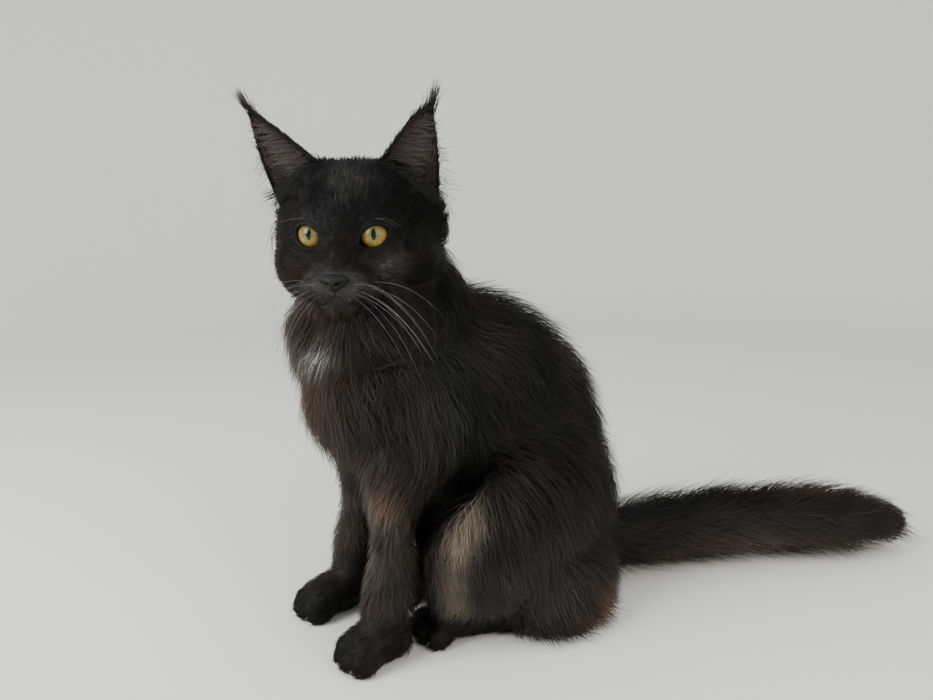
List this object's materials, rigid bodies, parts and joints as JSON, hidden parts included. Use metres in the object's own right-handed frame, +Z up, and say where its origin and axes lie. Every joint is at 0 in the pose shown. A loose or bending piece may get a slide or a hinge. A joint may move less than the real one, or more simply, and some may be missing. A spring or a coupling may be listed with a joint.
{
  "type": "maine coon cat",
  "caption": "Long-haired cat sitting upright with its head turned to one side and its tail laid along the floor, a still life-size animal model for a room scene or display.",
  "frame": {"origin": "on the floor, under the middle of the cat's box", "axes": "+Z up, +Y along the tail, so that the breast faces -Y, +X towards the cat's left"},
  "size_m": [0.2566, 0.599, 0.4121],
  "materials": {
    "coat": "long soft brown-black hair",
    "eye": "wet, clear, yellow-green",
    "nose_leather": "fine-grained, slightly moist"
  },
  "bodies": {
    "root": {"eye_left": "eye", "eye_right": "eye", "nose": "nose_leather", "head": "coat", "neck": "coat", "torso": "coat", "tail_base": "coat", "tail_middle": "coat", "tail_tip": "coat", "ear_left": "coat", "forepaw_left": "coat", "foreleg_left": "coat", "hindfoot_left": "coat", "thigh_left": "coat", "ear_right": "coat", "forepaw_right": "coat", "foreleg_right": "coat", "hindfoot_right": "coat", "thigh_right": "coat"}
  },
  "joints": []
}
